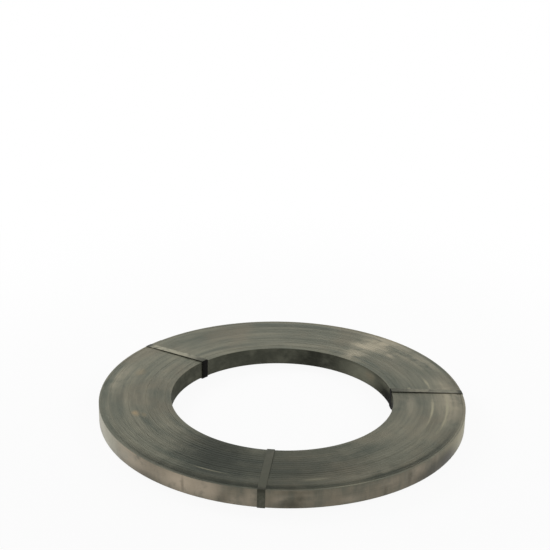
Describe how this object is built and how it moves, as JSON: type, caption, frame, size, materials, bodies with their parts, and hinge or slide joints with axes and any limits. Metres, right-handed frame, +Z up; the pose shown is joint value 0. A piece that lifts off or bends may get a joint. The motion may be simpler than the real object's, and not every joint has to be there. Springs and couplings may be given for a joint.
{
  "type": "steel strip coil",
  "caption": "Flat ring coil of steel strip lying on its side, wound turn on turn round an open bore and held by thin strap ties; stock for a strip decoiler or strapping dispenser.",
  "frame": {"origin": "on the coil's axis at floor level, under the runs of the ties that the coil lies on", "axes": "+Z up along the coil's axis; -Y towards the side with the front tie; +X towards the right tie"},
  "size_m": [0.508, 0.5073, 0.0284],
  "materials": {
    "strip_steel": "dull grey strip with oxide and light rust stains, darker at its slit edges",
    "tie_steel": "dark dull strap"
  },
  "bodies": {
    "root": {"coil": "strip_steel", "tie_front": "tie_steel", "tie_right": "tie_steel", "tie_back_left": "tie_steel"}
  },
  "joints": []
}
